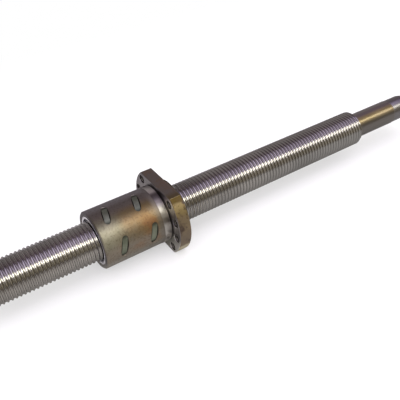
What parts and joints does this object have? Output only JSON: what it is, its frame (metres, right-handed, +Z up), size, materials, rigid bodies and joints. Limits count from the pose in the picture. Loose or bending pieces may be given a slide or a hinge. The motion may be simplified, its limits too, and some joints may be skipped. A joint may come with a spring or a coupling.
{
  "type": "ball screw",
  "caption": "Ball screw: a ground screw shaft with a bearing seat at its end, and a flanged ball nut with return inserts that travels along it as it turns.",
  "frame": {"origin": "On the shaft axis, in the bolting face of the nut flange, where the nut seats against its housing.", "axes": "+X along the shaft towards its long journal and out of the flange, +Z up, square to the two flats of the flange; the flange stands on its lower flat."},
  "size_m": [0.718, 0.11, 0.085],
  "materials": {
    "ground_screw_steel": "ground",
    "dark_nut_steel": "ground, lightly oiled",
    "insert_steel": "matt",
    "wiper_plastic": "moulded",
    "spring_steel": "bright",
    "plug_steel": "dark oxide"
  },
  "bodies": {
    "screw": {"screw_shaft": "ground_screw_steel"},
    "wipers": {"wiper_ring_left": "wiper_plastic", "wiper_ring_right": "wiper_plastic"},
    "nut": {"ball_nut": "dark_nut_steel", "return_insert_1": "insert_steel", "return_insert_2": "insert_steel", "return_insert_3": "insert_steel", "return_insert_4": "insert_steel", "return_insert_5": "insert_steel", "return_insert_6": "insert_steel", "retaining_ring_left": "spring_steel", "retaining_ring_right": "spring_steel", "lubrication_plug": "plug_steel"}
  },
  "joints": [
    {"name": "nut_travel", "type": "slide", "parent": "screw", "child": "wipers", "axis": [1, 0, 0], "range_m": [-0.1255, 0.3055]},
    {"name": "nut_turn", "type": "hinge", "parent": "wipers", "child": "nut", "pos_m": [0, 0, 0], "axis": [1, 0, 0], "range_deg": [-9000, 21960]}
  ],
  "couplings": [
    {"joint": "nut_travel", "follows": "nut_turn", "m_per_rad": 0.00079577}
  ]
}
